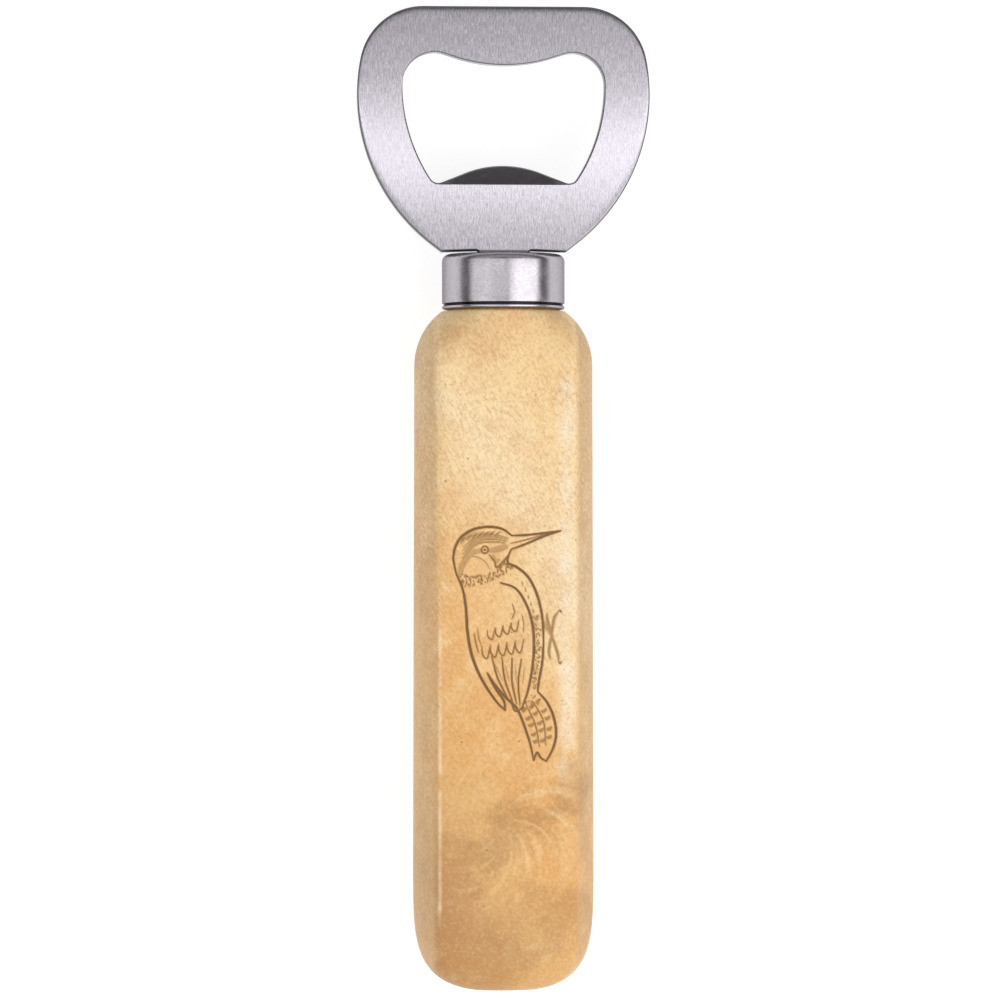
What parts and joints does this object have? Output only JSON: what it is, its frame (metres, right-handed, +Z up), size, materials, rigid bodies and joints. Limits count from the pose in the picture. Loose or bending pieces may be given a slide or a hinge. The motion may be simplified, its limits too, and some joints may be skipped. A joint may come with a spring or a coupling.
{
  "type": "souvenir bottle opener",
  "caption": "Handheld crown-cap opener: flat steel head with a lobed mouth and pressed lip, round steel ferrule and flat-sided wooden handle with an engraved bird.",
  "frame": {"origin": "on the surface it lies on, under the middle of the box round the whole opener", "axes": "+Y from the butt of the handle to the end of the head, +X to the right seen from above, +Z up from the back flat to the front flat"},
  "size_m": [0.0446, 0.15, 0.0198],
  "materials": {
    "head_steel": "brushed along its length",
    "ferrule_steel": "drawn, satin to bright",
    "handle_wood": "clear satin lacquer with a burnt engraving",
    "adhesive": "cured epoxy, hidden"
  },
  "bodies": {
    "root": {"opener_head": "head_steel", "ferrule": "ferrule_steel", "handle": "handle_wood", "tang_adhesive": "adhesive"}
  },
  "joints": []
}
